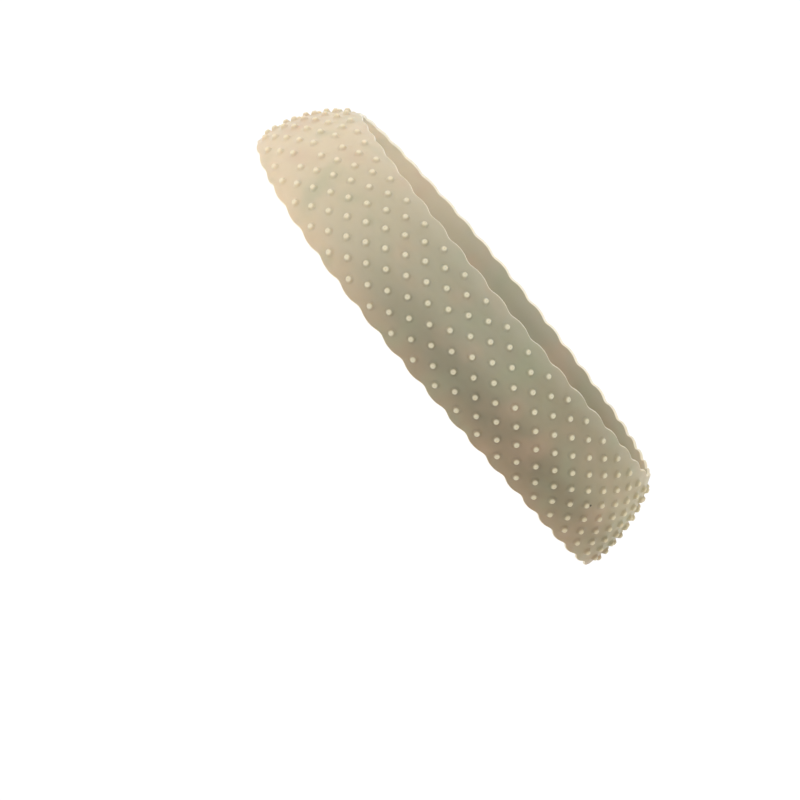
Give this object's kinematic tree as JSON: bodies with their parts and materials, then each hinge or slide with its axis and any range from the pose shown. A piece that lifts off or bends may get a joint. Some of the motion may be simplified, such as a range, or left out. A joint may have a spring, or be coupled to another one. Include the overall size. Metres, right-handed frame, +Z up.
{
  "type": "wig grip band",
  "caption": "Soft moulded silicone band, a closed loop worn slanting round the head to hold a wig, with wavy edges and round raised nubs all over its outer face.",
  "frame": {"origin": "middle of the space inside the loop, where the head sits", "axes": "+Z up, -Y towards the wearer's forehead, +X towards the wearer's left; the band slants down from the forehead to the nape as it is worn"},
  "size_m": [0.1597, 0.1498, 0.1745],
  "materials": {
    "silicone": "translucent milky cream silicone, soft satin sheen"
  },
  "bodies": {
    "root": {"grip_band": "silicone"}
  },
  "joints": []
}
